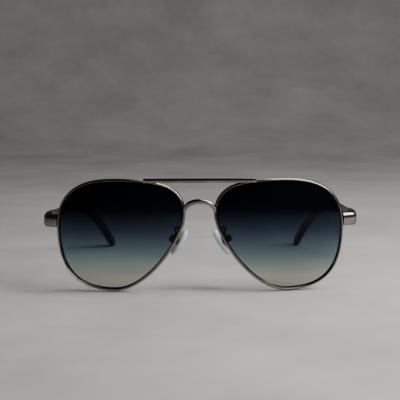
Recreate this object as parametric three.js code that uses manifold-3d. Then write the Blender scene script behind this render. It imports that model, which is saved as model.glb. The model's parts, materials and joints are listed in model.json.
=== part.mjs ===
// Aviator sunglasses: two metal eyewires with gradient lenses, a bridge and a brow bar, wrap-round
// endpieces, three-knuckle hinges, stamped temples with moulded tips, and screw-on nose pads.
//
// Millimetres, +Z up, the lenses face -Y and the temples run back along +Y. The glasses stand open on
// the lower rims and the temple tips. The origin is under the middle of the bounding box, on the table.
// Every piece of one side is made once, for the wearer's left (+X), and mirrored for the right.

import * as THREE from "three";
import { mergeVertices } from "three/addons/utils/BufferGeometryUtils.js";
import Module from "manifold-3d";

const wasm = await Module();
wasm.setup();

// ---------------------------------------------------------------- driving dimensions

const BACK_SHIFT = 67.39; // half of the overall depth: moves the origin from the lenses to the middle
const BASE_RADIUS = 88; // base-6 lens curve
const WRAP = THREE.MathUtils.degToRad(5); // each lens turns this far outwards
const LEAN = THREE.MathUtils.degToRad(4.5); // and this far forwards at the top
const LENS_CENTRE = new THREE.Vector3(36.6, 0, 26.7);

const RIM_WIDTH = 1.4; // seen from the front
const RIM_DEPTH = 2;
const GROOVE_DEPTH = 0.55;
const LENS_THICKNESS = 1.7;
const GAP = 0.05; // between pieces that touch

const ENDPIECE_HEIGHT = 6;
const ENDPIECE_Z = 33.2; // middle height of the endpiece, the rim lock and the hinge
const METAL = 1.5; // thickness of the endpiece and of the temple at the hinge
const OUTER_X = 73; // outer face of the endpiece and temple
const BUTT_Y = 16.9; // where the temple's end meets the endpiece

const HINGE_RADIUS = 1.2;
const HINGE_X = OUTER_X - METAL - GAP - HINGE_RADIUS;
const HINGE_HEIGHT = 4.8;
const KNUCKLE = 1.5; // height of each of the two front knuckles
const KNUCKLE_GAP = 0.1;
const LEAF = 0.6; // thickness of a hinge leaf
const SCREW_RADIUS = 0.6;
const BORE_RADIUS = 0.68;

const BAR_HEIGHT = 2;
const BAR_DEPTH = 1.3;
const BAR_HALF = 26.2;
const BAR_Z = 52.25;
const BRIDGE_RADIUS = 1.12;

const TIP_THICKNESS = 3.4;
const TIP_START_Y = 80;
const TIP_HALF_END = 3.1; // half of the height of the tip's paddle end

const PAD_CENTRE = new THREE.Vector3(9.8, 11, 22.1);
const PAD_LEAN = THREE.MathUtils.degToRad(31.4); // long axis from the vertical, seen from the front
const PAD_SPLAY = THREE.MathUtils.degToRad(14); // face of the pad from straight back
const PAD_HALF_LENGTH = 6.9;
const PAD_HALF_WIDTH = 3.8;
const PAD_BACK = 1.1; // from the pad's middle to its flat back
const BOX_OFFSET = 3.6; // from the pad's middle to the middle of the box that holds it
const BOX_SIZE = 2.8;
const WIRE_RADIUS = 0.55;

// ---------------------------------------------------------------- materials

const paint = (color, roughness, metalness) =>
  new THREE.MeshStandardMaterial({ color, roughness, metalness });
const gunmetal = paint(0x6d665f, 0.32, 1);
const darkSteel = paint(0x2b2927, 0.4, 1);
const lensTint = paint(0x10161c, 0.05, 0);
const acetate = paint(0x060606, 0.25, 0);
const silicone = paint(0xc9d3da, 0.3, 0);
const padPlastic = paint(0x161616, 0.35, 0);

// ---------------------------------------------------------------- solids

function merged(geometry) {
  const bare = geometry.clone();
  bare.deleteAttribute("normal");
  bare.deleteAttribute("uv");
  return mergeVertices(bare, 1e-4);
}

function toSolid(geometry) {
  const { attributes, index } = merged(geometry);
  const vertProperties = attributes.position.array;
  const triVerts = new Uint32Array(index.array);
  return new wasm.Manifold(new wasm.Mesh({ numProp: 3, vertProperties, triVerts }));
}

function toGeometry(solid) {
  const { vertProperties, triVerts } = solid.getMesh();
  const geometry = new THREE.BufferGeometry();
  geometry.setAttribute("position", new THREE.BufferAttribute(vertProperties, 3));
  return geometry.setIndex(new THREE.BufferAttribute(triVerts, 1));
}

const cut = (geometry, ...tools) =>
  toGeometry(tools.reduce((solid, tool) => solid.subtract(toSolid(tool)), toSolid(geometry)));
const join = (first, ...others) =>
  toGeometry(others.reduce((solid, other) => solid.add(toSolid(other)), toSolid(first)));
const keepInside = (geometry, region) => toGeometry(toSolid(geometry).intersect(toSolid(region)));

// A box between two corners.
function block([x0, y0, z0], [x1, y1, z1]) {
  const box = new THREE.BoxGeometry(x1 - x0, y1 - y0, z1 - z0);
  return box.translate((x0 + x1) / 2, (y0 + y1) / 2, (z0 + z1) / 2);
}

// An upright cylinder on the axis through (x, y).
function upright(x, y, radius, z0, z1, sides = 16) {
  const cylinder = new THREE.CylinderGeometry(radius, radius, z1 - z0, sides);
  return cylinder.rotateX(Math.PI / 2).translate(x, y, (z0 + z1) / 2);
}

function tube(points, radius, steps, sides) {
  const curve = new THREE.CatmullRomCurve3(points);
  const section = new THREE.Shape().absarc(0, 0, radius, 0, 2 * Math.PI);
  return new THREE.ExtrudeGeometry(section, { steps, curveSegments: sides / 2, extrudePath: curve });
}

// Corners of a rectangle about the origin, and of a square of half side 1 with chamfered corners.
const rectangle = (halfWidth, halfHeight) =>
  [[1, -1], [1, 1], [-1, 1], [-1, -1]].map(([x, y]) => new THREE.Vector2(x * halfWidth, y * halfHeight));
const octagon = (chamfer, c = 1 - chamfer) =>
  [[1, -c], [1, c], [c, 1], [-c, 1], [-1, c], [-1, -c], [-c, -1], [c, -1]].map(
    ([x, y]) => new THREE.Vector2(x, y),
  );

// A slotted screw along +Z: the shank starts at 0, the domed head sits at the top.
function screw(radius, length, headRadius, headHeight) {
  const profile = [
    new THREE.Vector2(0, 0),
    new THREE.Vector2(radius, 0),
    new THREE.Vector2(radius, length),
    new THREE.Vector2(headRadius, length),
    new THREE.Vector2(headRadius, length + headHeight * 0.5),
    new THREE.Vector2(headRadius * 0.6, length + headHeight),
    new THREE.Vector2(0, length + headHeight),
  ];
  const slotHalf = headRadius * 0.15;
  const slotFloor = length + headHeight * 0.55;
  const slot = block([-slotHalf, -headRadius, slotFloor], [slotHalf, headRadius, slotFloor + headHeight]);
  return cut(new THREE.LatheGeometry(profile, 14).rotateX(Math.PI / 2), slot);
}

// ---------------------------------------------------------------- the lens surface and its outline

// Centre of the sphere that the left lens and its rim lie on.
const SPHERE = new THREE.Vector3(
  LENS_CENTRE.x - BASE_RADIUS * Math.sin(WRAP),
  LENS_CENTRE.y + BASE_RADIUS * Math.cos(WRAP) * Math.cos(LEAN),
  LENS_CENTRE.z + BASE_RADIUS * Math.sin(LEAN),
);

// The point of the lens surface seen from the front at (x, z).
function onLens(x, z) {
  const across = (x - SPHERE.x) ** 2 + (z - SPHERE.z) ** 2;
  return new THREE.Vector3(x, SPHERE.y - Math.sqrt(BASE_RADIUS ** 2 - across), z);
}

const forwardAt = (point) => point.clone().sub(SPHERE).normalize();
const lifted = (point, height) => point.clone().addScaledVector(forwardAt(point), height);

// Middle of the rim wire from the front, clockwise from its outermost point: a cubic arc between each
// two of the four extreme points, as draughtsmen box an aviator eye shape.
const rimOutline = new THREE.Path()
  .moveTo(65.7, 30.2)
  .bezierCurveTo(65.7, 9.3, 57.9, 0.915, 40, 0.915)
  .bezierCurveTo(24.5, 0.915, 7.15, 26.3, 7.15, 36.7)
  .bezierCurveTo(7.15, 49.6, 18.2, 52.5, 39, 52.5)
  .bezierCurveTo(57.3, 52.5, 65.7, 44.7, 65.7, 30.2);

// Unit vector in the front view from the lens out through its edge at a fraction of the outline.
function outwardAt(fraction) {
  const along = rimOutline.getTangentAt(fraction);
  return new THREE.Vector2(-along.y, along.x);
}

// The rim wire's path on the lens surface, with the section's axes set by that surface.
class RimPath extends THREE.Curve {
  constructor(start, end) {
    super();
    Object.assign(this, { start, end });
  }

  getPoint(t) {
    const { x, y } = rimOutline.getPointAt((this.start + (this.end - this.start) * t) % 1);
    return onLens(x, y);
  }

  computeFrenetFrames(segments) {
    const frames = { tangents: [], normals: [], binormals: [] };
    for (let i = 0; i <= segments; i++) {
      const tangent = this.getTangentAt(i / segments);
      const forward = forwardAt(this.getPointAt(i / segments));
      frames.tangents.push(tangent);
      frames.normals.push(forward.clone().cross(tangent).normalize());
      frames.binormals.push(forward);
    }
    return frames;
  }
}

// Fraction of the outline where its last arc, from the top to the outermost point, comes down to z.
function outerFractionAt(z) {
  let [low, high] = [0.8, 1];
  for (let i = 0; i < 40; i++) {
    const middle = (low + high) / 2;
    if (rimOutline.getPointAt(middle).y > z) low = middle;
    else high = middle;
  }
  return low;
}

// Fraction of the outline where its second arc, from the bottom to the nasal side, comes up to z.
function nasalFractionAt(z) {
  let [low, high] = [0.3, 0.6];
  for (let i = 0; i < 40; i++) {
    const middle = (low + high) / 2;
    if (rimOutline.getPointAt(middle).y < z) low = middle;
    else high = middle;
  }
  return low;
}

const SPLIT_GAP = 0.4; // between the two ends of the rim, inside the rim lock
const splitFraction = outerFractionAt(ENDPIECE_Z);
const halfSplit = SPLIT_GAP / 2 / rimOutline.getLength();
const rimPath = new RimPath(splitFraction + halfSplit, splitFraction + 1 - halfSplit);
const RIM_STEPS = 56;

// ---------------------------------------------------------------- front: rim, lens, bridge, brow bar

function rim() {
  const [w, d] = [RIM_WIDTH / 2, RIM_DEPTH / 2];
  const bevel = 0.3;
  const section = new THREE.Shape([
    new THREE.Vector2(w, -d + bevel),
    new THREE.Vector2(w, d - bevel),
    new THREE.Vector2(w - bevel, d),
    new THREE.Vector2(bevel - w, d),
    new THREE.Vector2(-w, d - bevel),
    new THREE.Vector2(-w, GROOVE_DEPTH),
    new THREE.Vector2(GROOVE_DEPTH - w, 0),
    new THREE.Vector2(-w, -GROOVE_DEPTH),
    new THREE.Vector2(-w, bevel - d),
    new THREE.Vector2(bevel - w, -d),
    new THREE.Vector2(w - bevel, -d),
  ]);
  return new THREE.ExtrudeGeometry(section, { steps: RIM_STEPS, extrudePath: rimPath });
}

// The rim's outer form with a gap all round it, which neighbours are coped with.
function rimTool(halfDepth = RIM_DEPTH / 2 + GAP) {
  const section = new THREE.Shape(rectangle(RIM_WIDTH / 2 + GAP, halfDepth));
  return new THREE.ExtrudeGeometry(section, { steps: RIM_STEPS, extrudePath: rimPath });
}

// A meniscus with a bevelled edge that sits in the rim's groove. It is a lathe-turned disc whose rings
// are then laid on the lens surface: each ring is a share of the way out, a set-back from the edge
// and a height over the middle surface.
function lens() {
  const face = LENS_THICKNESS / 2;
  const playInGroove = 0.2;
  const playAtRim = 0.12;
  const bevelHalf = 0.45; // half of the thickness where the bevelled edge starts
  const edge = RIM_WIDTH / 2 - GROOVE_DEPTH + playInGroove;
  const shoulder = RIM_WIDTH / 2 + playAtRim;
  const front = [
    { share: 0, setBack: shoulder, height: face },
    { share: 0.5, setBack: shoulder, height: face },
    { share: 1, setBack: shoulder, height: face },
    { share: 1, setBack: shoulder, height: bevelHalf },
  ];
  const back = front.map((ring) => ({ ...ring, height: -ring.height })).reverse();
  const rings = [...front, { share: 1, setBack: edge, height: 0 }, ...back];
  const profile = rings.map(({ share, height }) => new THREE.Vector2(share, height));
  const segments = 56;
  const geometry = new THREE.LatheGeometry(profile, segments);
  const position = geometry.getAttribute("position");
  const centre = new THREE.Vector2(LENS_CENTRE.x, LENS_CENTRE.z);
  for (let i = 0; i <= segments; i++) {
    const fraction = (i % segments) / segments;
    const rimPoint = rimOutline.getPointAt(fraction);
    rings.forEach(({ share, setBack, height }, j) => {
      const flat = rimPoint.clone().addScaledVector(outwardAt(fraction), -setBack);
      flat.lerp(centre, 1 - share);
      const point = lifted(onLens(flat.x, flat.y), height);
      position.setXYZ(i * rings.length + j, point.x, point.y, point.z);
    });
  }
  return merged(geometry);
}

const mirrored = (point) => new THREE.Vector3(-point.x, point.y, point.z);

// Coping tools for the pieces that span both rims; the mirrored one is turned right side out.
function bothRims(halfDepth) {
  const left = rimTool(halfDepth);
  const right = left.clone().scale(-1, 1, 1);
  right.setIndex([...Array(right.getAttribute("position").count).keys()].reverse());
  return [left, right];
}

function bridge() {
  const halfArch = [
    new THREE.Vector3(6.75, onLens(6.75, 38.2).y, 38.2),
    new THREE.Vector3(6.2, 1.3, 39.9),
    new THREE.Vector3(4.9, 0.5, 41.5),
    new THREE.Vector3(2.6, 0, 42.5),
  ];
  const top = new THREE.Vector3(0, -0.2, 42.8);
  const arch = [...halfArch, top, ...halfArch.map(mirrored).reverse()];
  return cut(tube(arch, BRIDGE_RADIUS, 24, 12), ...bothRims(RIM_DEPTH));
}

// A bar bowed gently forwards, notched over the two rims, with its ends cut at a slant.
function browBar() {
  const ends = 0.5; // how far the ends stand back
  const path = new THREE.QuadraticBezierCurve3(
    new THREE.Vector3(-BAR_HALF, 0.2, BAR_Z),
    new THREE.Vector3(0, 0.2 - 2 * ends, BAR_Z),
    new THREE.Vector3(BAR_HALF, 0.2, BAR_Z),
  );
  const [h, d] = [BAR_HEIGHT / 2, BAR_DEPTH / 2];
  const bevel = 0.3;
  const section = new THREE.Shape([
    new THREE.Vector2(-h, -d),
    new THREE.Vector2(h, -d),
    new THREE.Vector2(h, d - bevel),
    new THREE.Vector2(h - bevel, d),
    new THREE.Vector2(bevel - h, d),
    new THREE.Vector2(-h, d - bevel),
  ]);
  const up = new THREE.Vector3(0, 0, 1);
  path.computeFrenetFrames = (segments) => {
    const tangents = Array.from({ length: segments + 1 }, (_, i) => path.getTangentAt(i / segments));
    const binormals = tangents.map((tangent) => tangent.clone().cross(up).normalize());
    return { tangents, normals: tangents.map(() => up), binormals };
  };
  const bar = new THREE.ExtrudeGeometry(section, { steps: 12, extrudePath: path });
  const slant = 0.8;
  const trapezium = new THREE.Shape([
    new THREE.Vector2(-BAR_HALF, BAR_Z - h - 1),
    new THREE.Vector2(BAR_HALF, BAR_Z - h - 1),
    new THREE.Vector2(BAR_HALF - slant, BAR_Z + h + 1),
    new THREE.Vector2(slant - BAR_HALF, BAR_Z + h + 1),
  ]);
  const trim = new THREE.ExtrudeGeometry(trapezium, { depth: 8, bevelEnabled: false });
  return cut(keepInside(bar, trim.rotateX(Math.PI / 2).translate(0, 4, 0)), ...bothRims());
}

// ---------------------------------------------------------------- rim lock and endpiece

// Frame of the rim where it is split: out is away from the lens, forward is the lens normal.
const split = onLens(rimOutline.getPointAt(splitFraction).x, ENDPIECE_Z);
const splitForward = forwardAt(split).setZ(0).normalize();
const splitOut = new THREE.Vector3(-splitForward.y, splitForward.x, 0);
const atSplit = (out, forward) =>
  new THREE.Vector2(split.x, split.y)
    .addScaledVector(new THREE.Vector2(splitOut.x, splitOut.y), out)
    .addScaledVector(new THREE.Vector2(splitForward.x, splitForward.y), forward);

const LOCK = { out: [0.8, 3], forward: [-2.6, -0.35], height: 2.3 };
const lockScrewAt = atSplit((LOCK.out[0] + LOCK.out[1]) / 2, (LOCK.forward[0] + LOCK.forward[1]) / 2);

// One half of the barrel that closes the rim, below or above the split.
function rimLock(z0) {
  const [[a, b], [c, d]] = [LOCK.out, LOCK.forward];
  const plan = new THREE.Shape([atSplit(a, c), atSplit(b, c), atSplit(b, d), atSplit(a, d)].reverse());
  const body = new THREE.ExtrudeGeometry(plan, { depth: LOCK.height, bevelEnabled: false });
  body.translate(0, 0, z0);
  const bore = upright(lockScrewAt.x, lockScrewAt.y, BORE_RADIUS, z0 - 1, z0 + LOCK.height + 1);
  return cut(body, bore, rimTool());
}

// Plan of the endpiece: from the rim outwards along the front, round a corner and back to the hinge.
function endpiece() {
  const root = { out: 0.5, front: 1.25, back: -0.3 };
  const inner = OUTER_X - METAL;
  const frontRoot = atSplit(root.out, root.front);
  const frontEnd = atSplit(root.out + 3.5, root.front);
  const backRoot = atSplit(root.out, root.back);
  const backEnd = atSplit(root.out + 3.4, root.back);
  const plan = new THREE.Shape()
    .moveTo(frontRoot.x, frontRoot.y)
    .lineTo(frontEnd.x, frontEnd.y)
    .quadraticCurveTo(OUTER_X - 0.1, frontEnd.y + 1.1, OUTER_X, frontEnd.y + 4)
    .lineTo(OUTER_X, BUTT_Y - GAP)
    .lineTo(inner, BUTT_Y - GAP)
    .lineTo(inner, backEnd.y + 3)
    .quadraticCurveTo(inner, backEnd.y + 0.8, backEnd.x, backEnd.y)
    .lineTo(backRoot.x, backRoot.y);
  const bevel = 0.35;
  const body = new THREE.ExtrudeGeometry(plan, {
    depth: ENDPIECE_HEIGHT - 2 * bevel,
    bevelThickness: bevel,
    bevelSize: bevel,
    bevelOffset: -bevel,
    bevelSegments: 2,
    curveSegments: 6,
  });
  return cut(body.translate(0, 0, ENDPIECE_Z - ENDPIECE_HEIGHT / 2 + bevel), rimTool());
}

// ---------------------------------------------------------------- hinge

const HINGE_BASE = ENDPIECE_Z - HINGE_HEIGHT / 2;
const HINGE_TOP = HINGE_BASE + HINGE_HEIGHT;
const LEAF_INNER = OUTER_X - METAL - GAP - LEAF;
const LEAF_OUTER = OUTER_X - METAL - GAP;
const LEAF_CLEARANCE = 0.2; // between a leaf's plate and the other leaf's knuckles

// A round knuckle with the web that ties it to its leaf; side is -1 for the front and 1 for the temple.
function knuckle(z0, z1, side) {
  const reach = BUTT_Y + side * (HINGE_RADIUS + LEAF_CLEARANCE + 0.1);
  const [y0, y1] = [Math.min(BUTT_Y, reach), Math.max(BUTT_Y, reach)];
  const web = block([HINGE_X, y0, z0], [LEAF_OUTER, y1, z1]);
  return join(upright(HINGE_X, BUTT_Y, HINGE_RADIUS, z0, z1, 20), web);
}

function hingeLeaf(side, length, knuckles) {
  const near = BUTT_Y + side * (HINGE_RADIUS + LEAF_CLEARANCE);
  const far = near + side * length;
  const [y0, y1] = [Math.min(near, far), Math.max(near, far)];
  const plate = block([LEAF_INNER, y0, HINGE_BASE], [LEAF_OUTER, y1, HINGE_TOP]);
  const body = join(plate, ...knuckles.map(([z0, z1]) => knuckle(z0, z1, side)));
  return cut(body, upright(HINGE_X, BUTT_Y, BORE_RADIUS, HINGE_BASE - 1, HINGE_TOP + 1));
}

const frontLeaf = () =>
  hingeLeaf(-1, 2.4, [
    [HINGE_BASE, HINGE_BASE + KNUCKLE],
    [HINGE_TOP - KNUCKLE, HINGE_TOP],
  ]);
const templeLeaf = () =>
  hingeLeaf(1, 5, [[HINGE_BASE + KNUCKLE + KNUCKLE_GAP, HINGE_TOP - KNUCKLE - KNUCKLE_GAP]]);

// ---------------------------------------------------------------- temple and tip

const templeLine = new THREE.CatmullRomCurve3([
  new THREE.Vector3(OUTER_X - METAL / 2, BUTT_Y + GAP, ENDPIECE_Z),
  new THREE.Vector3(72, 50, 31.6),
  new THREE.Vector3(71.3, 80, 30.4),
  new THREE.Vector3(69.7, 95, 29.4),
  new THREE.Vector3(66.6, 105.5, 26.2),
  new THREE.Vector3(60.3, 119, 16.4),
  new THREE.Vector3(53.9, 135.2, 1.005),
]);
const TEMPLE_LENGTH = templeLine.getLength();

// Fraction along the temple's line at a depth y: the line always runs backwards.
function fractionAt(y) {
  let [low, high] = [0, 1];
  for (let i = 0; i < 30; i++) {
    const middle = (low + high) / 2;
    if (templeLine.getPointAt(middle).y < y) low = middle;
    else high = middle;
  }
  return low;
}

// A flat bar with chamfered edges that follows the temple's line. Its half height and half thickness
// are functions of the fraction along the line, and its ends stand square to the line.
function alongTemple({ from, to, steps, chamfer, halfHeight, halfThickness }) {
  const section = new THREE.Shape(chamfer > 0 ? octagon(chamfer) : rectangle(1, 1));
  const geometry = new THREE.ExtrudeGeometry(section, { depth: 1, steps, bevelEnabled: false });
  const position = geometry.getAttribute("position");
  const [up, aside] = [new THREE.Vector3(), new THREE.Vector3()];
  for (let i = 0; i < position.count; i++) {
    const fraction = from + (to - from) * (1 - position.getZ(i));
    const along = templeLine.getTangentAt(fraction);
    if (fraction === 0) along.set(0, 1, 0);
    aside.set(1, 0, 0).addScaledVector(along, -along.x).normalize();
    up.crossVectors(aside, along);
    const point = templeLine
      .getPointAt(fraction)
      .addScaledVector(aside, position.getX(i) * halfThickness(fraction))
      .addScaledVector(up, position.getY(i) * halfHeight(fraction));
    position.setXYZ(i, point.x, point.y, point.z);
  }
  return merged(geometry);
}

const tipFrom = fractionAt(TIP_START_Y);
const smooth = THREE.MathUtils.smoothstep;
const CORE = { halfHeight: 1, halfThickness: 0.5, from: tipFrom - 0.01, to: 0.93 };

function templeHalfHeight(fraction) {
  const atHinge = ENDPIECE_HEIGHT / 2;
  return atHinge - 0.9 * smooth(fraction, 0.02, 0.27) - 0.15 * smooth(fraction, 0.27, tipFrom);
}

// The stamped temple, thinned to a flat core where it runs inside the tip.
function temple() {
  const blade = alongTemple({
    from: 0,
    to: tipFrom,
    steps: 16,
    chamfer: 0,
    halfHeight: templeHalfHeight,
    halfThickness: () => METAL / 2,
  });
  return join(blade, core(0, 24));
}

function core(clearance, steps) {
  return alongTemple({
    from: CORE.from,
    to: CORE.to + clearance / TEMPLE_LENGTH,
    steps,
    chamfer: 0,
    halfHeight: () => CORE.halfHeight + clearance,
    halfThickness: () => CORE.halfThickness + clearance,
  });
}

// The moulded sleeve: it widens to a paddle with a rounded end.
function templeTip() {
  const roundFrom = 1 - TIP_HALF_END / TEMPLE_LENGTH;
  const rounding = (fraction) => {
    const past = Math.max(0, (fraction - roundFrom) / (1 - roundFrom));
    return Math.sqrt(1 - (0.97 * past) ** 2);
  };
  const body = alongTemple({
    from: tipFrom + 2 * GAP / TEMPLE_LENGTH,
    to: 1,
    steps: 36,
    chamfer: 0.35,
    halfHeight: (f) => (2.3 + (TIP_HALF_END - 2.3) * smooth(f, 0.72, 1)) * rounding(f),
    halfThickness: (f) => (TIP_THICKNESS / 2) * (0.5 + 0.5 * rounding(f)),
  });
  return cut(body, core(2 * GAP, 24));
}

// ---------------------------------------------------------------- nose pad and its arm

// Frame of the pad: x runs from front to back along it, y down its length and z towards the nose.
const padDown = new THREE.Vector3(Math.sin(PAD_LEAN), 0, -Math.cos(PAD_LEAN));
const padAside = new THREE.Vector3(Math.cos(PAD_LEAN), 0, Math.sin(PAD_LEAN));
const [splayCos, splaySin] = [Math.cos(PAD_SPLAY), Math.sin(PAD_SPLAY)];
const padBackwards = new THREE.Vector3(0, splayCos, 0).addScaledVector(padAside, splaySin);
const padInwards = new THREE.Vector3(0, splaySin, 0).addScaledVector(padAside, -splayCos);
const padTurn = new THREE.Matrix4().makeBasis(padBackwards, padDown, padInwards).setPosition(PAD_CENTRE);
const fromPad = (x, y, z) => new THREE.Vector3(x, y, z).applyMatrix4(padTurn);
const inPlace = (geometry) => geometry.applyMatrix4(padTurn);

const CORE_PLATE = { halfWidth: 1.2, halfLength: 1.7, depth: 0.7 };
const TAB = { halfThickness: 0.45, halfWidth: 1, past: 0.65, bore: 0.52 };
const BOX = { play: 0.08, wall: 0.35, bore: 0.47, lip: 0.3 };

// A hole through the box and the tab, where the pad's screw goes.
function padBore(radius) {
  const bore = new THREE.CylinderGeometry(radius, radius, 2 * BOX_SIZE, 12);
  return bore.rotateZ(Math.PI / 2).translate(0, 0, -BOX_OFFSET);
}

// A soft oval pad, domed towards the nose, with a pocket in its flat back for the core.
function nosePad() {
  const profile = [
    [0, -PAD_BACK],
    [2.7, -PAD_BACK],
    [3.5, -0.75],
    [PAD_HALF_WIDTH, -0.05],
    [3.5, 0.55],
    [2.5, 1.05],
    [1.2, 1.3],
    [0, 1.35],
  ].map(([radius, height]) => new THREE.Vector2(radius, height));
  const stretch = PAD_HALF_LENGTH / PAD_HALF_WIDTH;
  const oval = new THREE.LatheGeometry(profile, 24).rotateX(Math.PI / 2).scale(1, stretch, 1);
  const { halfWidth, halfLength, depth } = CORE_PLATE;
  const [w, l] = [halfWidth + GAP, halfLength + GAP];
  return inPlace(cut(oval, block([-w, -l, -PAD_BACK - 1], [w, l, -PAD_BACK + depth])));
}

// The stiff core of the pad: a plate in the pad's back and a drilled tab that enters the box.
function padCore() {
  const { halfWidth: w, halfLength: l, depth } = CORE_PLATE;
  const plate = block([-w, -l, -PAD_BACK], [w, l, -PAD_BACK + depth - GAP]);
  const { halfThickness, halfWidth, past, bore } = TAB;
  const rooted = 0.1; // the tab runs this far into the plate
  const [low, high] = [-BOX_OFFSET - past, -PAD_BACK + rooted];
  const tab = block([-halfThickness, -halfWidth, low], [halfThickness, halfWidth, high]);
  return inPlace(cut(join(plate, tab), padBore(bore)));
}

// The box: a block with a slot towards the pad, in which the tab rocks on the screw.
function padBox() {
  const half = BOX_SIZE / 2;
  const { play, wall, bore, lip } = BOX;
  const body = block([-half, -half, -BOX_OFFSET - half], [half, half, -BOX_OFFSET + half - lip]);
  const slotHalf = TAB.halfThickness + play;
  const slot = block([-slotHalf, -BOX_SIZE, -BOX_OFFSET - half + wall], [slotHalf, BOX_SIZE, 0]);
  return inPlace(cut(body, slot, padBore(bore)));
}

// Its head faces forwards and shows through the lens.
function padScrew() {
  const half = BOX_SIZE / 2;
  const shape = screw(0.4, BOX_SIZE, 1.25, 0.85).translate(0, 0, -half + GAP);
  return inPlace(shape.rotateY(-Math.PI / 2).translate(0, 0, -BOX_OFFSET));
}

// Bent wire from the back of the rim, up and over into the top of the box.
function padArm() {
  const { x, y } = rimOutline.getPointAt(nasalFractionAt(29));
  const root = onLens(x, y);
  const start = lifted(root, -RIM_DEPTH / 2 - GAP);
  const boxTop = -BOX_SIZE / 2 - GAP;
  const points = [
    start,
    lifted(root, -RIM_DEPTH / 2 - 1.6),
    start.clone().add(new THREE.Vector3(1.1, 3.7, 0.9)),
    start.clone().add(new THREE.Vector3(2.4, 5.6, 0)),
    fromPad(0, boxTop - 1.9, -BOX_OFFSET - 0.1),
    fromPad(0, boxTop - 0.8, -BOX_OFFSET),
    fromPad(0, boxTop, -BOX_OFFSET),
  ];
  return tube(points, WIRE_RADIUS, 24, 8);
}

// ---------------------------------------------------------------- assembly

const glasses = new THREE.Group();
glasses.position.y = -BACK_SHIFT;

function add(group, name, geometry, material) {
  const mesh = new THREE.Mesh(geometry, material);
  mesh.name = name;
  group.add(mesh);
}

add(glasses, "bridge", bridge(), gunmetal);
add(glasses, "brow_bar", browBar(), gunmetal);

const lockTop = ENDPIECE_Z + SPLIT_GAP / 2;
const lockLow = ENDPIECE_Z - SPLIT_GAP / 2 - LOCK.height;
const lockScrew = screw(SCREW_RADIUS - 0.05, 2 * LOCK.height, 0.95, 0.6)
  .rotateX(Math.PI)
  .translate(lockScrewAt.x, lockScrewAt.y, lockLow + 2 * LOCK.height - GAP);
const hingeScrewLength = HINGE_HEIGHT - 0.2;
const hingeScrew = screw(SCREW_RADIUS, hingeScrewLength, 1.05, 0.7).translate(
  HINGE_X,
  BUTT_Y,
  HINGE_TOP + GAP - hingeScrewLength,
);

const onePerSide = [
  ["rim", rim(), gunmetal],
  ["lens", lens(), lensTint],
  ["rim_lock_upper", rimLock(lockTop), gunmetal],
  ["rim_lock_lower", rimLock(lockLow), gunmetal],
  ["rim_lock_screw", lockScrew, darkSteel],
  ["endpiece", endpiece(), gunmetal],
  ["front_hinge_leaf", frontLeaf(), gunmetal],
  ["hinge_screw", hingeScrew, darkSteel],
  ["temple_hinge_leaf", templeLeaf(), gunmetal],
  ["temple", temple(), gunmetal],
  ["temple_tip", templeTip(), acetate],
  ["pad_arm", padArm(), darkSteel],
  ["pad_box", padBox(), darkSteel],
  ["pad_screw", padScrew(), darkSteel],
  ["pad_core", padCore(), padPlastic],
  ["nose_pad", nosePad(), silicone],
];

for (const side of ["left", "right"]) {
  const half = new THREE.Group();
  half.scale.x = side === "left" ? 1 : -1;
  for (const [name, geometry, material] of onePerSide) add(half, `${name}_${side}`, geometry, material);
  glasses.add(half);
}

export default glasses;
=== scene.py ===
"""Aviator sunglasses: fine meshes, materials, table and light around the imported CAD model."""

import json
from math import copysign, cos, exp, pi, radians, sin, sqrt

import bmesh
import bpy
from mathutils import Matrix, Vector


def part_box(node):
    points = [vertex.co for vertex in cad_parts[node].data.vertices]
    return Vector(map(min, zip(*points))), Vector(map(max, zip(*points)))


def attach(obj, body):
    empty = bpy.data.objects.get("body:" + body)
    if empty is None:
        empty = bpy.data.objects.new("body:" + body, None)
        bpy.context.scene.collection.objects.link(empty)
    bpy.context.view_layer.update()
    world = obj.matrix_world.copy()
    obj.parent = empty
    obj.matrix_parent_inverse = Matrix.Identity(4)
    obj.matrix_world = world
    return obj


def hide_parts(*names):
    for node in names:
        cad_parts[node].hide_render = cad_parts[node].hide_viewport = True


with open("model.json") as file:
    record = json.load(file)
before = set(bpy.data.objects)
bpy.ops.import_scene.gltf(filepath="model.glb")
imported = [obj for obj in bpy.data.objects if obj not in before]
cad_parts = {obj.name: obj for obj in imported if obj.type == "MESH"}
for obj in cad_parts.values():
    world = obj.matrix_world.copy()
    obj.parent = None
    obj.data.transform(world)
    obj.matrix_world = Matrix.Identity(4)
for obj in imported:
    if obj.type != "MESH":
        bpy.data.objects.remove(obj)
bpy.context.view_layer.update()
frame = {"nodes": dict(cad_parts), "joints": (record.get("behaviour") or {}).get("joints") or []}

MM = 0.001
SIDES = {"left": 1, "right": -1}

# ------------------------------------------------------------------ driving dimensions, in millimetres
# The same design lengths as the CAD model: x to the wearer's left, y back from the lenses, z up.

BASE_RADIUS = 88  # the sphere that lenses and rims lie on
WRAP = radians(5)  # how far each lens turns back at the temple
LEAN = radians(4.5)  # how far the lenses' lower edges go back
LENS_CENTRE = Vector((36.6, 0, 26.7))
RIM_HALF_WIDTH = 0.7
RIM_HALF_DEPTH = 1.0
GROOVE = 0.55  # depth of the V groove, and half its width
LENS_HALF = 0.85  # half the lens's thickness

OUTER_X = 73  # outer face of endpiece and temple
METAL = 1.5  # their thickness
GAP = 0.05  # between pieces that touch
BUTT_Y = 16.9  # where the temple meets the endpiece
ENDPIECE_HEIGHT = 6
TIP_START_Y = 80
TIP_HALF_START = 2.3
TIP_HALF_END = 3.1
TIP_HALF_THICKNESS = 1.7

BAR_HALF = 26.2
BAR_Z = 52.25
BAR_HALF_HEIGHT = 1
BAR_HALF_DEPTH = 0.65
BRIDGE_RADIUS = 1.12

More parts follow.
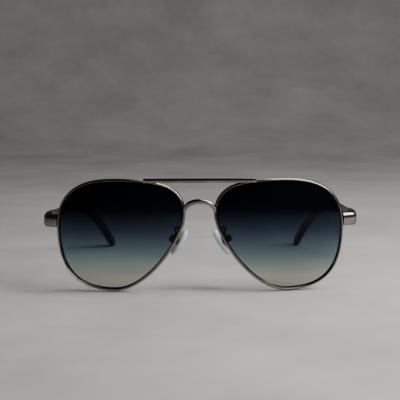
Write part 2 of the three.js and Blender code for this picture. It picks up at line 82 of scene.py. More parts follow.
PAD_CENTRE = Vector((9.8, 11, 22.1))
PAD_LEAN = radians(31.4)  # the pad's foot is further from the nose
PAD_SPLAY = radians(14)  # and so is its back edge
PAD_HALF_LENGTH = 6.9
PAD_BACK = 1.1  # the pad's flat back, behind its middle plane
BOX_OFFSET = 3.6
BOX_SIZE = 2.8
WIRE_RADIUS = 0.55

joints = {joint["name"]: joint for joint in frame["joints"]}
HINGE = Vector(joints["temple_fold_left"]["pos_m"]) / MM
SHIFT = HINGE.y - BUTT_Y  # from the design's y to the frame's
ENDPIECE_Z = HINGE.z

# ------------------------------------------------------------------ curves and the lens surface

SPHERE = LENS_CENTRE + BASE_RADIUS * Vector((-sin(WRAP), cos(WRAP) * cos(LEAN), sin(LEAN)))


def on_lens(x, z):
    """The point of the lens surface at x and z."""
    across = (x - SPHERE.x) ** 2 + (z - SPHERE.z) ** 2
    return Vector((x, SPHERE.y - sqrt(BASE_RADIUS**2 - across), z))


def forward_at(point):
    """The lens surface's unit normal, towards the front."""
    return (point - SPHERE).normalized()


def bezier(points, t):
    a, b, c, d = points
    return a * (1 - t) ** 3 + 3 * b * t * (1 - t) ** 2 + 3 * c * t * t * (1 - t) + d * t**3


class Curve:
    """A curve through many samples, read by its length."""

    def __init__(self, samples):
        self.samples = samples
        self.lengths = [0]
        for a, b in zip(samples, samples[1:]):
            self.lengths.append(self.lengths[-1] + (b - a).length)
        self.length = self.lengths[-1]

    def at(self, fraction):
        goal = min(max(fraction, 0), 1) * self.length
        low, high = 0, len(self.samples) - 1
        while high - low > 1:
            middle = (low + high) // 2
            if self.lengths[middle] <= goal:
                low = middle
            else:
                high = middle
        share = (goal - self.lengths[low]) / (self.lengths[high] - self.lengths[low])
        return self.samples[low].lerp(self.samples[high], share)

    def along(self, fraction, step=0.002):
        return (self.at(min(1, fraction + step)) - self.at(max(0, fraction - step))).normalized()


def spline(points, per_span=24):
    """A centripetal Catmull-Rom curve, as three.js draws it."""
    ends = [2 * points[0] - points[1], *points, 2 * points[-1] - points[-2]]
    samples = []
    for i in range(len(points) - 1):
        p = ends[i : i + 4]
        gaps = [max(1e-6, (p[k + 1] - p[k]).length ** 0.5) for k in range(3)]
        samples += [catmull(p, gaps, k / per_span) for k in range(per_span)]
    return Curve([*samples, points[-1]])


def catmull(p, gaps, t):
    d0, d1, d2 = gaps
    t1 = (p[1] - p[0]) / d0 - (p[2] - p[0]) / (d0 + d1) + (p[2] - p[1]) / d1
    t2 = (p[2] - p[1]) / d1 - (p[3] - p[1]) / (d1 + d2) + (p[3] - p[2]) / d2
    t1, t2 = t1 * d1, t2 * d1
    c2 = -3 * p[1] + 3 * p[2] - 2 * t1 - t2
    c3 = 2 * p[1] - 2 * p[2] + t1 + t2
    return p[1] + t1 * t + c2 * t * t + c3 * t**3


def outline_samples():
    """The rim wire's middle line from the front, clockwise from its outermost point."""
    arcs = [
        ((65.7, 30.2), (65.7, 9.3), (57.9, 0.915), (40, 0.915)),
        ((40, 0.915), (24.5, 0.915), (7.15, 26.3), (7.15, 36.7)),
        ((7.15, 36.7), (7.15, 49.6), (18.2, 52.5), (39, 52.5)),
        ((39, 52.5), (57.3, 52.5), (65.7, 44.7), (65.7, 30.2)),
    ]
    per_arc = 120
    samples = [Vector(arcs[0][0])]
    for arc in arcs:
        points = [Vector(p) for p in arc]
        samples += [bezier(points, k / per_arc) for k in range(1, per_arc + 1)]
    return samples


OUTLINE = Curve(outline_samples())


def outward_at(fraction, step=0.0015):
    """Unit vector in the front view from the lens out through its edge."""
    along = (OUTLINE.at((fraction + step) % 1) - OUTLINE.at((fraction - step) % 1)).normalized()
    return Vector((-along.y, along.x))


def search(low, high, before):
    """The place between low and high up to which before(place) holds."""
    for _ in range(40):
        middle = (low + high) / 2
        if before(middle):
            low = middle
        else:
            high = middle
    return low


def smooth(x, low, high):
    """0 up to low, 1 from high on, and an eased step between them."""
    t = min(max((x - low) / (high - low), 0), 1)
    return t * t * (3 - 2 * t)


# ------------------------------------------------------------------ mesh building


def make_piece(name, vertices, faces, grain, side=1, sharp=38):
    """A mesh object from points in design millimetres; grain runs along and around the piece, in mm."""
    mesh = bpy.data.meshes.new(name)
    mesh.from_pydata([((v.x * side) * MM, (v.y + SHIFT) * MM, v.z * MM) for v in vertices], [], faces)
    layer = mesh.attributes.new("grain", "FLOAT_VECTOR", "POINT")
    layer.data.foreach_set("vector", [c for g in grain for c in (g[0], g[1], 0.0)])
    bm = bmesh.new()
    bm.from_mesh(mesh)
    bmesh.ops.remove_doubles(bm, verts=bm.verts, dist=1e-7)
    bmesh.ops.recalc_face_normals(bm, faces=bm.faces)
    bm.to_mesh(mesh)
    bm.free()
    mesh.shade_smooth()
    mesh.set_sharp_from_angle(angle=radians(sharp))
    piece = bpy.data.objects.new(name, mesh)
    bpy.context.scene.collection.objects.link(piece)
    return piece


def quads(rows, count, first=0):
    """Faces between rows of count points, each row a ring; first is the index of the first point."""
    faces = []
    for low in range(first, first + (rows - 1) * count, count):
        high = low + count
        for k in range(count):
            m = (k + 1) % count
            faces.append((low + k, low + m, high + m, high + k))
    return faces


def loft(rings):
    """Vertices, faces and grain of the skin over a row of rings, capped at both ends."""
    count = len(rings[0])
    vertices = [p for ring in rings for p in ring]
    grain = []
    travelled = 0
    for i, ring in enumerate(rings):
        if i:
            travelled += (sum(ring, Vector()) - sum(rings[i - 1], Vector())).length / count
        around = 0
        for k, p in enumerate(ring):
            if k:
                around += (p - ring[k - 1]).length
            grain.append((travelled, around))
    faces = quads(len(rings), count)
    faces.append(tuple(range(count)))
    faces.append(tuple((len(rings) - 1) * count + k for k in reversed(range(count))))
    return vertices, faces, grain


def rounded(half_width, half_height, radius, steps=4):
    """Corner points of a rectangle with round corners, about the origin."""
    points = []
    for quarter, (sx, sy) in enumerate(((1, 1), (-1, 1), (-1, -1), (1, -1))):
        for k in range(steps + 1):
            turn = (quarter + k / steps) * pi / 2
            across = sx * (half_width - radius) + radius * cos(turn)
            points.append((across, sy * (half_height - radius) + radius * sin(turn)))
    return points


def ellipse(a, b, count, power=2.0):
    """Points of an ellipse, or of a squarer oval when power is over 2."""
    points = []
    for k in range(count):
        c, s = cos(2 * pi * k / count), sin(2 * pi * k / count)
        x, y = a * abs(c) ** (2 / power), b * abs(s) ** (2 / power)
        points.append((copysign(x, c), copysign(y, s)))
    return points


def refined(node, name, bevel, segments=2, sharp=32):
    """A finer piece made from a CAD node's own faces: flat faces joined, edges rounded, curves smooth."""
    mesh = frame["nodes"][node].data.copy()
    mesh.name = name
    mesh.materials.clear()
    bm = bmesh.new()
    bm.from_mesh(mesh)
    bmesh.ops.remove_doubles(bm, verts=bm.verts, dist=1e-7)
    bmesh.ops.dissolve_limit(bm, angle_limit=radians(1), verts=bm.verts, edges=bm.edges)
    edges = [e for e in bm.edges if len(e.link_faces) == 2 and e.calc_face_angle(0) > radians(sharp)]
    width = bevel * MM
    bmesh.ops.bevel(bm, geom=edges, offset=width, segments=segments, affect="EDGES", clamp_overlap=True)
    bmesh.ops.recalc_face_normals(bm, faces=bm.faces)
    bm.to_mesh(mesh)
    bm.free()
    mesh.shade_smooth()
    mesh.set_sharp_from_angle(angle=radians(sharp))
    layer = mesh.attributes.new("grain", "FLOAT_VECTOR", "POINT")
    layer.data.foreach_set("vector", [c / MM for v in mesh.vertices for c in (v.co.x + v.co.y, v.co.z, 0)])
    piece = bpy.data.objects.new(name, mesh)
    bpy.context.scene.collection.objects.link(piece)
    return piece


# ------------------------------------------------------------------ materials


class Nodes:
    """Short calls for a material's node tree."""

    def __init__(self, name):
        self.material = bpy.data.materials.new(name)
        self.material.use_nodes = True
        self.tree = self.material.node_tree
        self.shader = self.tree.nodes["Principled BSDF"]

    def add(self, kind, inputs=(), **settings):
        node = self.tree.nodes.new(kind)
        for key, value in settings.items():
            setattr(node, key, value)
        for socket, value in dict(inputs).items():
            if isinstance(value, bpy.types.NodeSocket):
                self.tree.links.new(value, node.inputs[socket])
            else:
                node.inputs[socket].default_value = value
        return node

    def set(self, **values):
        for socket, value in values.items():
            self.shader.inputs[socket.replace("_", " ")].default_value = value

    def link(self, output, socket):
        self.tree.links.new(output, self.shader.inputs[socket])

    def grain(self, along, around):
        """The piece's grain coordinates, in mm, stretched so that the pattern runs along it."""
        source = self.add("ShaderNodeAttribute", attribute_name="grain")
        return self.add(
            "ShaderNodeMapping", {"Vector": source.outputs["Vector"], "Scale": (along, around, 1)}
        ).outputs["Vector"]

    def place(self, scale):
        source = self.add("ShaderNodeTexCoord")
        return self.add(
            "ShaderNodeMapping", {"Vector": source.outputs["Object"], "Scale": (scale,) * 3}
        ).outputs["Vector"]

    def noise(self, vector, detail, roughness=0.5):
        return self.add(
            "ShaderNodeTexNoise",
            {"Vector": vector, "Scale": 1, "Detail": detail, "Roughness": roughness},
        ).outputs["Fac"]

    def plus(self, a, b):
        return self.add("ShaderNodeMath", {0: a, 1: b}, operation="ADD").outputs[0]

    def ramp(self, factor, stops):
        node = self.add("ShaderNodeValToRGB", {"Fac": factor})
        ramp = node.color_ramp
        while len(ramp.elements) < len(stops):
            ramp.elements.new(0.5)
        for element, (position, colour) in zip(ramp.elements, stops):
            element.position = position
            element.color = (*colour, 1) if len(colour) == 3 else colour
        return node.outputs["Color"]

    def spread(self, factor, low, high, start=0.3, end=0.7):
        return self.add(
            "ShaderNodeMapRange",
            {"Value": factor, "From Min": start, "From Max": end, "To Min": low, "To Max": high},
        ).outputs["Result"]

    def bump(self, height, strength, distance_mm):
        self.link(
            self.add(
                "ShaderNodeBump", {"Height": height, "Strength": strength, "Distance": distance_mm * MM}
            ).outputs["Normal"],
            "Normal",
        )


def plated_metal(name, dark, light, rough, brushing):
    """Plated steel with fine lines along the piece, cloudy tone, and a little unevenness in its shine."""
    m = Nodes(name)
    m.set(Metallic=1.0, Specular_Tint=(0.42, 0.38, 0.36, 1))
    lines = m.noise(m.grain(along=0.35, around=26), detail=4, roughness=0.7)
    streaks = m.noise(m.grain(along=0.08, around=3.2), detail=2)
    clouds = m.noise(m.place(160), detail=4)
    tone = m.spread(m.plus(m.plus(lines, streaks), clouds), 0, 1, start=1.15, end=1.85)
    m.link(m.ramp(tone, [(0, dark), (1, light)]), "Base Color")
    m.link(m.spread(lines, rough - 0.04, rough + 0.1), "Roughness")
    m.bump(lines, brushing, distance_mm=0.03)
    return m.material


# Height up the lens as a share, the light that each face's clear part passes, and how solid the face is.
LENS_STOPS = [
    (0.0, (0.90, 0.905, 0.85), 0.21),
    (0.12, (0.87, 0.90, 0.85), 0.24),
    (0.24, (0.78, 0.86, 0.85), 0.31),
    (0.34, (0.68, 0.82, 0.86), 0.42),
    (0.46, (0.56, 0.66, 0.78), 0.50),
    (0.58, (0.40, 0.52, 0.66), 0.62),
    (0.74, (0.26, 0.32, 0.44), 0.80),
    (0.90, (0.10, 0.12, 0.20), 0.95),
]


def lens_tint():
    """A tint that fades down the lens from near black, through blue-green, to a faint grey."""
    m = Nodes("lens_gradient_tint")
    m.set(Base_Color=(0.001, 0.0016, 0.003, 1), Roughness=0.03, IOR=1.5, Specular_IOR_Level=0.14)
    source = m.add("ShaderNodeTexCoord")
    height = m.add("ShaderNodeSeparateXYZ", {"Vector": source.outputs["Object"]}).outputs["Z"]
    low, high = (corner.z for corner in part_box("lens_left"))
    waver = m.spread(m.noise(m.place(60), detail=2), -0.006, 0.006)
    share = m.plus(m.spread(height, 0, 1, low, high), waver)
    passed = [(h, colour) for h, colour, _ in LENS_STOPS]
    solid = [(h, (a, a, a)) for h, _, a in LENS_STOPS]
    clear = m.add("ShaderNodeBsdfTransparent", {"Color": m.ramp(share, passed)})
    mixed = m.add(
        "ShaderNodeMixShader",
        {0: m.ramp(share, solid), 1: clear.outputs["BSDF"], 2: m.shader.outputs["BSDF"]},
    )
    m.tree.links.new(mixed.outputs["Shader"], m.tree.nodes["Material Output"].inputs["Surface"])
    return m.material


def acetate():
    m = Nodes("black_acetate")
    m.set(IOR=1.49, Specular_IOR_Level=0.35, Coat_Weight=0.15, Coat_Roughness=0.06)
    blacks = [(0.3, (0.0035, 0.003, 0.003)), (0.7, (0.009, 0.0075, 0.007))]
    m.link(m.ramp(m.noise(m.place(90), detail=4), blacks), "Base Color")
    m.link(m.spread(m.noise(m.place(700), detail=3), 0.09, 0.18), "Roughness")
    m.bump(m.noise(m.place(260), detail=2), strength=0.06, distance_mm=0.05)
    return m.material


def silicone():
    m = Nodes("clear_silicone")
    m.set(IOR=1.41, Transmission_Weight=0.25, Coat_Weight=0.6, Coat_Roughness=0.05)
    clouds = m.noise(m.place(420), detail=3)
    m.link(m.ramp(clouds, [(0.3, (0.78, 0.85, 0.94)), (0.7, (0.88, 0.93, 0.98))]), "Base Color")
    m.link(m.spread(clouds, 0.08, 0.2), "Roughness")
    m.bump(m.noise(m.place(1500), detail=2), strength=0.08, distance_mm=0.03)
    return m.material


def core_plastic():
    m = Nodes("pad_core_plastic")
    m.set(IOR=1.5)
    blacks = [(0.3, (0.006, 0.006, 0.006)), (0.7, (0.014, 0.013, 0.012))]
    m.link(m.ramp(m.noise(m.place(500), detail=2), blacks), "Base Color")
    m.link(m.spread(m.noise(m.place(900), detail=2), 0.2, 0.35), "Roughness")
    return m.material


MATERIALS = {
    "gunmetal": plated_metal(
        "gunmetal", dark=(0.16, 0.142, 0.13), light=(0.33, 0.303, 0.284), rough=0.10, brushing=0.05
    ),
    "dark_steel": plated_metal(
        "black_nickel", dark=(0.035, 0.033, 0.032), light=(0.11, 0.10, 0.095), rough=0.26, brushing=0.15
    ),
    "lens_tint": lens_tint(),
    "black_acetate": acetate(),
    "clear_silicone": silicone(),
    "pad_core_plastic": core_plastic(),
}


def finish_piece(piece, body, slot, *nodes):
    """Gives a piece the material of its slot, puts it under its body, and hides the CAD nodes that it
    stands for.
    """
    piece.data.materials.append(MATERIALS[slot])
    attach(piece, body)
    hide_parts(*nodes)
    return piece


# ------------------------------------------------------------------ rims and lenses


def rim_section():
    """Across the rim wire (out from the lens, towards the front): a round back, the V groove, a narrow lip
    beside the lens, a fine step outside it, and an outer face that slopes back."""
    w, d = RIM_HALF_WIDTH, RIM_HALF_DEPTH
    return [
        (w, -0.62),
        (w - 0.06, -0.82),
        (w - 0.2, -0.95),
        (w - 0.4, -d),
        (-w + 0.18, -d),
        (-w + 0.05, -d + 0.05),
        (-w, -d + 0.18),
        (-w, -GROOVE),
        (GROOVE - w, 0),
        (-w, GROOVE),
        (-w, d - 0.16),
        (-w + 0.05, d - 0.05),
        (-w + 0.14, d),
        (-w + 0.34, d),
        (-w + 0.40, d - 0.07),
        (-w + 0.48, d - 0.06),
        (-w + 0.62, d - 0.10),
        (0.14, d - 0.27),
        (0.36, d - 0.50),
        (w - 0.13, d - 0.77),
        (w - 0.03, d - 0.92),
        (w, d - 1.1),
    ]


def rim_ring(fraction, section):
    """The section set square to the outline and to the lens surface, at a place along the outline."""
    p = OUTLINE.at(fraction % 1)
    point = on_lens(p.x, p.y)
    forward = forward_at(point)
    out2 = outward_at(fraction % 1)
    out = Vector((out2.x, 0, out2.y))
    out = (out - forward * out.dot(forward)).normalized()
    return [point + out * a + forward * b for a, b in section]


SPLIT = search(0.8, 1, lambda f: OUTLINE.at(f).y > ENDPIECE_Z)
SPLIT_GAP = 0.4


def make_rim(side):
    """The eyewire: one section swept from one side of the split round to the other."""
    half = SPLIT_GAP / 2 / OUTLINE.length
    start, end = SPLIT + half, SPLIT + 1 - half
    steps = 300
    section = rim_section()
    rings = [rim_ring(start + (end - start) * i / steps, section) for i in range(steps + 1)]
    piece = make_piece(f"eyewire_{side}", *loft(rings), SIDES[side], sharp=30)
    return finish_piece(piece, "front", "gunmetal", f"rim_{side}")


def make_lens(side):
    """A meniscus of even thickness on the base curve, with its bevelled edge in the groove."""
    segments, shares = 192, 20
    edge_play, side_play, bevel_half = 0.2, 0.1, 0.45
    edge = RIM_HALF_WIDTH - GROOVE + edge_play
    shoulder = RIM_HALF_WIDTH + side_play
    layers = [(k / shares, shoulder, LENS_HALF) for k in range(1, shares + 1)]
    layers += [(1, shoulder, bevel_half), (1, edge, 0), (1, shoulder, -bevel_half)]
    layers += [(k / shares, shoulder, -LENS_HALF) for k in range(shares, 0, -1)]
    centre = Vector((LENS_CENTRE.x, LENS_CENTRE.z))

    def lay(flat, height):
        point = on_lens(flat.x, flat.y)
        return point + forward_at(point) * height

    vertices = []
    for share, set_back, height in layers:
        for k in range(segments):
            fraction = k / segments
            flat = OUTLINE.at(fraction) - outward_at(fraction) * set_back
            vertices.append(lay(centre.lerp(flat, share), height))
    faces = quads(len(layers), segments)
    for ring, height in ((0, LENS_HALF), (len(layers) - 1, -LENS_HALF)):
        vertices.append(lay(centre, height))
        hub = len(vertices) - 1
        faces += [(hub, ring * segments + k, ring * segments + (k + 1) % segments) for k in range(segments)]
    grain = [(v.x, v.z) for v in vertices]
    piece = make_piece(f"gradient_lens_{side}", vertices, faces, grain, SIDES[side])
    return finish_piece(piece, "front", "lens_tint", f"lens_{side}")


# ------------------------------------------------------------------ bridge and brow bar


def tube_rings(curve, radius_at, steps, sides):
    """Round rings square to a curve that never runs straight back."""
    backwards = Vector((0, 1, 0))
    rings = []
    for i in range(steps + 1):
        f = i / steps
        along = curve.along(f)
        across = along.cross(backwards).normalized()
        lift = across.cross(along)
        r = radius_at(f)
        rings.append([curve.at(f) + across * r * c + lift * r * s for c, s in ellipse(1, 1, sides)])
    return rings


def make_bridge():
    """An arched wire whose feet run down beside the rims and thin out into them."""
    half = [
        Vector((7.3, on_lens(7.3, 34.6).y - 0.05, 34.6)),
        Vector((7.25, on_lens(7.25, 36.6).y - 0.1, 36.6)),
        Vector((6.95, 1.6, 38.6)),
        Vector((6.2, 1.15, 40.2)),
        Vector((4.75, 0.5, 41.6)),
        Vector((2.6, 0, 42.5)),
    ]
    points = half + [Vector((0, -0.2, 42.8))] + [Vector((-p.x, p.y, p.z)) for p in reversed(half)]
    curve = spline(points)
    foot = 0.42  # a foot's radius as a share of the full one

    def radius(f):
        from_end = min(f, 1 - f) * curve.length
        return BRIDGE_RADIUS * (foot + (1 - foot) * smooth(from_end, 0.8, 7))

    piece = make_piece("bridge_wire", *loft(tube_rings(curve, radius, steps=120, sides=28)))
    return finish_piece(piece, "front", "gunmetal", "bridge")


def make_brow_bar():
    """A flat bar, bowed gently forwards, with a chamfer round its front face and slanted ends."""
    bow, ends_back, slant, chamfer = 0.5, 0.2, 0.8, 0.22
    h, d = BAR_HALF_HEIGHT, BAR_HALF_DEPTH
    section = [
        (-h, -d + 0.1),
        (-h + 0.1, -d),
        (h - 0.1, -d),
        (h, -d + 0.1),
        (h, d - chamfer),
        (h - 0.04, d - chamfer + 0.08),
        (h - chamfer + 0.04, d - 0.03),
        (h - chamfer - 0.04, d),
        (-h + chamfer + 0.04, d),
        (-h + chamfer - 0.04, d - 0.03),
        (-h + 0.04, d - chamfer + 0.08),
        (-h, d - chamfer),
    ]
    stations = [(-1, 0.0, 0.62), (-1, 0.05, 0.8), (-1, chamfer, 1.0)]
    stations += [(k / 20, 0, 1.0) for k in range(-19, 20)]
    stations += [(1, chamfer, 1.0), (1, 0.05, 0.8), (1, 0.0, 0.62)]
    rings = []
    for place, inset, size in stations:
        ring = []
        for up, front in section:
            up, front = up * size, -d + (front + d) * size
            reach = BAR_HALF - slant * (up + h) / (2 * h)
            x = place * reach - copysign(inset, place)
            y = ends_back - bow * (1 - (x / BAR_HALF) ** 2) - front
            ring.append(Vector((x, y, BAR_Z + up)))
        rings.append(ring)
    piece = make_piece("brow_bar_strip", *loft(rings), sharp=28)
    return finish_piece(piece, "front", "gunmetal", "brow_bar")


# ------------------------------------------------------------------ endpieces

SPLIT_AT = on_lens(OUTLINE.at(SPLIT).x, ENDPIECE_Z)
SPLIT_FORWARD = forward_at(SPLIT_AT).xy.normalized()
SPLIT_OUT = Vector((-SPLIT_FORWARD.y, SPLIT_FORWARD.x))


def at_split(out, forward):
    """A point in plan, measured from the rim's split."""
    return SPLIT_AT.xy + SPLIT_OUT * out + SPLIT_FORWARD * forward


def quadratic(a, b, c, steps):
    """Points along a quadratic curve from a towards b to c."""
    shares = [k / steps for k in range(steps + 1)]
    return [a * (1 - t) ** 2 + 2 * b * t * (1 - t) + c * t * t for t in shares]


def make_endpiece(side):
    """The wrap-round block: flat root beside the rim, a round corner, and a straight cheek to the hinge."""
    inner, end = OUTER_X - METAL, BUTT_Y - GAP
    root, front, back = 0.45, 1.22, -0.28
    front_reach, back_reach = 3.5, 3.4
    front_end, back_end = at_split(root + front_reach, front), at_split(root + back_reach, back)
    cheek, inner_cheek = front_end.y + 4, back_end.y + 3
    corner, inner_corner = Vector((OUTER_X - 0.1, front_end.y + 1.1)), Vector((inner, back_end.y + 0.8))
    outer_side = [at_split(root + front_reach * k / 6, front) for k in range(6)]
    outer_side += quadratic(front_end, corner, Vector((OUTER_X, cheek)), 14)
    outer_side += [Vector((OUTER_X, cheek + (end - cheek) * k / 4)) for k in range(1, 5)]
    inner_side = [Vector((inner, end - (end - inner_cheek) * k / 4)) for k in range(4)]
    inner_side += quadratic(Vector((inner, inner_cheek)), inner_corner, back_end, 12)
    inner_side += [at_split(root + back_reach * (1 - k / 6), back) for k in range(1, 7)]
    plan = outer_side + inner_side
    inwards = [(nearest(inner_side, p) - p).normalized() for p in outer_side]
    rings = []
    half = ENDPIECE_HEIGHT / 2
    round_in, round_up, bow = 0.75, 1.5, 0.35
    turns = [pi / 14 * k for k in range(8)]
    levels = [(-half + round_up * (1 - cos(a)), round_in * (1 - sin(a))) for a in turns]
    levels += [(-z, inset) for z, inset in reversed(levels)]
    for z, inset in levels:
        inset += bow * (z / half) ** 2
        ring = []
        for k, p in enumerate(plan):
            q = p + inwards[k] * inset if k < len(outer_side) else p
            ring.append(Vector((q.x, q.y, ENDPIECE_Z + z)))
        rings.append(ring)
    vertices, faces, _ = loft(rings)
    along = [0.0]
    for a, b in zip(plan, plan[1:]):
        along.append(along[-1] + (b - a).length)
    grain = [(along[i % len(plan)], v.z) for i, v in enumerate(vertices)]
    piece = make_piece(f"endpiece_block_{side}", vertices, faces, grain, SIDES[side], sharp=35)
    return finish_piece(piece, "front", "gunmetal", f"endpiece_{side}")


def nearest(points, p):
    return min(points, key=lambda q: (q - p).length)


# ------------------------------------------------------------------ temples and tips

TEMPLE = spline(
    [
        Vector((OUTER_X - METAL / 2, BUTT_Y + GAP, ENDPIECE_Z)),
        Vector((72, 50, 31.6)),
        Vector((71.3, 80, 30.4)),
        Vector((69.7, 95, 29.4)),
        Vector((66.6, 105.5, 26.2)),
        Vector((60.3, 119, 16.4)),
        Vector((53.9, 135.2, 1.005)),
    ],
    60,
)


TIP_FROM = search(0, 1, lambda f: TEMPLE.at(f).y < TIP_START_Y)
CORE_TO = 0.93
CORE_HALF = (0.5, 1.0)  # half the thickness and height of the core inside the tip


def temple_half_height(f):
    """The bar narrows soon after the hinge, and then very slightly up to the tip."""
    return ENDPIECE_HEIGHT / 2 - 0.9 * smooth(f, 0.02, 0.27) - 0.15 * smooth(f, 0.27, TIP_FROM)


def temple_ring(f, section):
    """A section of (out, up) points square to the temple's line."""
    along = Vector((0, 1, 0)) if f <= 0 else TEMPLE.along(f)
    aside = (Vector((1, 0, 0)) - along * along.x).normalized()
    up = aside.cross(along)
    return [TEMPLE.at(f) + aside * a + up * b for a, b in section]


def make_temple(side):
    """A flat stamped bar with soft edges, drawn down to the core that the tip is pressed over."""
    edge, inset, radius = 0.0009, 0.12, 0.32
    stations = [(0, inset), (edge, 0)] + [(TIP_FROM * k / 60, 0) for k in range(1, 60)]
    stations += [(TIP_FROM - edge, 0), (TIP_FROM, inset)]
    rings = []
    for f, cut in stations:
        corner = radius - 0.1 if cut else radius
        rings.append(temple_ring(f, rounded(METAL / 2 - cut, temple_half_height(f) - cut, corner, 5)))
    core = rounded(*CORE_HALF, 0.2, 5)
    rings += [temple_ring(TIP_FROM + (CORE_TO - TIP_FROM) * k / 40, core) for k in range(41)]
    piece = make_piece(f"temple_bar_{side}", *loft(rings), SIDES[side], sharp=40)
    return finish_piece(piece, f"temple_{side}", "gunmetal", f"temple_{side}")


def make_tip(side):
    """The moulded sleeve: a lip where the metal enters, then a slow swell to a round paddle."""
    start = TIP_FROM + 2 * GAP / TEMPLE.length
    pocket = rounded(CORE_HALF[0] + 0.1, CORE_HALF[1] + 0.1, 0.2, 11)
    pocket_end = CORE_TO + 0.001
    count = len(pocket)
    rings = [temple_ring(pocket_end - (pocket_end - start) * k / 40, pocket) for k in range(41)]
    first_outer = len(rings)
    lip, lip_start = 1.2 / TEMPLE.length, 0.88
    dense_from, swell_from = 0.97, 0.72
    end_reach, end_thickness, squareness = 0.985, 0.45, 2.9
    stations = [start + lip * k / 6 for k in range(7)]
    stations += [start + lip + (dense_from - start - lip) * k / 90 for k in range(1, 91)]
    stations += [dense_from + (1 - dense_from) * (1 - (1 - k / 16) ** 2) for k in range(1, 17)]
    round_from = 1 - TIP_HALF_END / TEMPLE.length
    for f in stations:
        past = max(0, (f - round_from) / (1 - round_from))
        ending = sqrt(1 - (end_reach * past) ** 2)
        beginning = lip_start + (1 - lip_start) * sqrt(1 - (1 - min(1, (f - start) / lip)) ** 2)
        swell = (TIP_HALF_END - TIP_HALF_START) * smooth(f, swell_from, 1)
        h = (TIP_HALF_START + swell) * ending * beginning
        w = TIP_HALF_THICKNESS * (end_thickness + (1 - end_thickness) * ending) * beginning
        rings.append(temple_ring(f, ellipse(w, h, count, squareness)))
    piece = make_piece(f"acetate_tip_{side}", *loft(align(rings, first_outer)), SIDES[side], sharp=45)
    return finish_piece(piece, f"temple_{side}", "black_acetate", f"temple_tip_{side}")


def align(rings, first):
    """Turns the pocket's rings, before first, so that their points face those of the outer skin."""
    inner, outer = rings[first - 1], rings[first]

    def apart(shift):
        return sum((a - b).length for a, b in zip(inner[shift:] + inner[:shift], outer))

    shift = min(range(len(outer)), key=apart)
    return [ring[shift:] + ring[:shift] if i < first else ring for i, ring in enumerate(rings)]


# ------------------------------------------------------------------ nose pads and their arms

PAD_DOWN = Vector((sin(PAD_LEAN), 0, -cos(PAD_LEAN)))
PAD_ASIDE = Vector((cos(PAD_LEAN), 0, sin(PAD_LEAN)))
PAD_BACKWARD = Vector((0, cos(PAD_SPLAY), 0)) + PAD_ASIDE * sin(PAD_SPLAY)
PAD_INWARD = Vector((0, sin(PAD_SPLAY), 0)) - PAD_ASIDE * cos(PAD_SPLAY)


def from_pad(x, y, z):
    """The point x backwards, y down and z towards the nose from the pad's centre."""
    return PAD_CENTRE + PAD_BACKWARD * x + PAD_DOWN * y + PAD_INWARD * z


def make_nose_pad(side):
    """A soft drop-shaped pad, domed towards the nose, with a shallow pocket for its core in the back."""
    pocket_half, pocket_mouth = (1.25, 1.75), 1.5
    profile = [(pocket_half[0], -0.45), (1.32, -PAD_BACK + 0.06), (1.42, -PAD_BACK), (2.2, -PAD_BACK)]
    profile += [(3.05, -PAD_BACK), (3.42, -1.0), (3.66, -0.72), (3.78, -0.35), (3.8, -0.02)]
    profile += [(3.72, 0.3), (3.5, 0.62), (3.1, 0.9), (2.5, 1.12), (1.7, 1.27), (0.9, 1.33), (0.3, 1.35)]
    segments, half_width, taper = 72, 3.8, 0.07
    rings = []
    for radius, height in profile:
        in_pocket = radius < pocket_mouth and height < 0
        length = pocket_half[1] / pocket_half[0] if in_pocket else PAD_HALF_LENGTH / half_width
        ring = []
        for k in range(segments):
            turn = 2 * pi * k / segments
            c, s = cos(turn), sin(turn)
            narrow = 1 - taper * s * (radius / half_width)
            ring.append(from_pad(radius * c * narrow, radius * s * length, height))
        rings.append(ring)
    piece = make_piece(f"silicone_pad_{side}", *loft(rings), SIDES[side], sharp=50)
    return finish_piece(piece, f"pad_{side}", "clear_silicone", f"nose_pad_{side}")


def make_pad_arm(side):
    """Bent wire from the back of the rim, up and over into the top of the box that holds the pad."""
    flat = OUTLINE.at(search(0.3, 0.6, lambda f: OUTLINE.at(f).y < 29))
    root = on_lens(flat.x, flat.y)
    start = root - forward_at(root) * RIM_HALF_DEPTH
    box_top = -BOX_SIZE / 2
    points = [
        start,
        root - forward_at(root) * (RIM_HALF_DEPTH + 1.6),
        start + Vector((1.1, 3.7, 0.9)),
        start + Vector((2.4, 5.6, 0)),
        from_pad(0, box_top - 1.9, -BOX_OFFSET - 0.1),
        from_pad(0, box_top - 0.8, -BOX_OFFSET),
        from_pad(0, box_top + 0.05, -BOX_OFFSET),
    ]
    curve = spline(points, 20)

    fillet = 0.03  # share of the wire over which the braze at each end dies away
    steps, sides = 90, 20

    def radius(f):
        swell = 0.35 * exp(-((f / fillet) ** 2)) + 0.3 * exp(-(((1 - f) / fillet) ** 2))
        return WIRE_RADIUS * (1 + swell)

    shares = [i / steps for i in range(steps + 1)]
    rings = [[curve.at(f) + q for q in circle(curve.along(f), radius(f), sides)] for f in shares]
    piece = make_piece(f"pad_arm_wire_{side}", *loft(untwisted(rings)), SIDES[side])
    return finish_piece(piece, "front", "dark_steel", f"pad_arm_{side}")


def circle(along, radius, sides):
    """Points round the origin, square to a direction."""
    across = along.orthogonal().normalized()
    lift = along.cross(across)
    return [across * radius * c + lift * radius * s for c, s in ellipse(1, 1, sides)]


def untwisted(rings):
    """Starts each ring at the point nearest to the last ring's start, so that the skin doesn't twist."""
    made = [rings[0]]
    for ring in rings[1:]:
        count = len(ring)
        start = min(range(count), key=lambda k: (ring[k] - made[-1][0]).length)
        made.append(ring[start:] + ring[:start])
    return made


# ------------------------------------------------------------------ small hardware

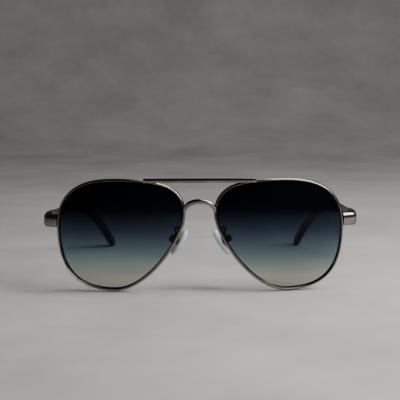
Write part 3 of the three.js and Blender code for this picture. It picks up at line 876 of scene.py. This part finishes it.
# Body, material, width of the rounded edges in mm, and their segments; a temple's or pad's body has a side.
HARDWARE = {
    "rim_lock_upper": ("front", "gunmetal", 0.12, 2),
    "rim_lock_lower": ("front", "gunmetal", 0.12, 2),
    "rim_lock_screw": ("front", "dark_steel", 0.05, 2),
    "front_hinge_leaf": ("front", "gunmetal", 0.07, 2),
    "hinge_screw": ("front", "dark_steel", 0.05, 2),
    "temple_hinge_leaf": ("temple_{}", "gunmetal", 0.07, 2),
    "pad_box": ("front", "dark_steel", 0.75, 5),
    "pad_screw": ("front", "dark_steel", 0.2, 4),
    "pad_core": ("pad_{}", "pad_core_plastic", 0.06, 2),
}


def make_hardware(side):
    for node, (body, slot, bevel, segments) in HARDWARE.items():
        piece = refined(f"{node}_{side}", f"{node}_part_{side}", bevel, segments)
        finish_piece(piece, body.format(side), slot, f"{node}_{side}")


# ------------------------------------------------------------------ table, light, camera


def stage_material():
    m = Nodes("pale_table")
    clouds = m.noise(m.place(11), detail=6, roughness=0.66)
    m.link(m.ramp(clouds, [(0.32, (0.275, 0.264, 0.25)), (0.68, (0.375, 0.363, 0.348))]), "Base Color")
    m.bump(m.noise(m.place(420), detail=3), strength=0.25, distance_mm=0.3)
    m.set(Roughness=0.75)
    return m.material


def make_stage():
    """A round table top whose far edge curves up into a plain wall."""
    centre_y, flat, bend, height, segments = -1.35, 2.1, 0.5, 1.6, 96
    profile = [(flat * k / 6, 0) for k in range(1, 6)]
    profile += [(flat + bend * sin(a), bend * (1 - cos(a))) for a in (pi / 48 * k for k in range(25))]
    profile += [(flat + bend, height)]
    vertices = [(0, centre_y, 0)]
    for radius, z in profile:
        for k in range(segments):
            turn = 2 * pi * k / segments
            vertices.append((radius * sin(turn), centre_y + radius * cos(turn), z))
    faces = [(0, 1 + (k + 1) % segments, 1 + k) for k in range(segments)]
    faces += quads(len(profile), segments, first=1)
    mesh = bpy.data.meshes.new("table")
    mesh.from_pydata(vertices, [], faces)
    mesh.shade_smooth()
    table = bpy.data.objects.new("table", mesh)
    bpy.context.scene.collection.objects.link(table)
    mesh.materials.append(stage_material())


def area_light(name, place, target, size, power, colour=(1, 1, 1)):
    light = bpy.data.lights.new(name, "AREA")
    light.shape = "RECTANGLE"
    light.size, light.size_y = size
    light.energy = power
    light.color = colour
    lamp = bpy.data.objects.new(name, light)
    lamp.location = place
    lamp.rotation_euler = (Vector(target) - Vector(place)).to_track_quat("-Z", "Y").to_euler()
    bpy.context.scene.collection.objects.link(lamp)


def make_lights():
    """A soft key and a strip from the wearer's upper left, and a dim wide light over the table behind."""
    warm = (1, 0.985, 0.965)
    area_light("key_softbox", (0.42, -0.20, 0.37), (0, -0.06, 0.03), (0.42, 0.34), 4.4, warm)
    area_light("overhead", (0.45, 0.5, 1.5), (0.25, 0.45, 0), (1.2, 1.0), 7)
    area_light("top_strip", (0.25, -0.13, 0.42), (0.03, -0.06, 0.04), (0.16, 0.44), 2.75)
    world = bpy.data.worlds.new("studio")
    world.use_nodes = True
    background = world.node_tree.nodes["Background"]
    background.inputs["Color"].default_value = (0.8, 0.82, 0.85, 1)
    background.inputs["Strength"].default_value = 0.03
    bpy.context.scene.world = world


def make_camera():
    """In front of the lenses and a little above them, tilted down, stood a touch to the wearer's left."""
    distance, height, aside, centring = 0.45, 0.0983, 0.0088, 0.00125
    tilt, roll, lens, sensor = radians(6.96), radians(-0.35), 89.9, 36
    camera = bpy.data.cameras.new("camera")
    camera.lens = lens
    camera.sensor_width = sensor
    camera.shift_x = centring - lens / sensor * aside / distance
    camera.clip_start = 0.01
    view = bpy.data.objects.new("camera", camera)
    view.location = (aside, SHIFT * MM - distance, height)
    aim = Matrix.Rotation(pi / 2 - tilt, 4, "X") @ Matrix.Rotation(roll, 4, "Z")
    view.rotation_euler = aim.to_euler()
    bpy.context.scene.collection.objects.link(view)
    bpy.context.scene.camera = view


make_camera()
make_stage()
make_lights()
make_bridge()
make_brow_bar()
for side in SIDES:
    make_rim(side)
    make_lens(side)
    make_endpiece(side)
    make_temple(side)
    make_tip(side)
    make_nose_pad(side)
    make_pad_arm(side)
    make_hardware(side)
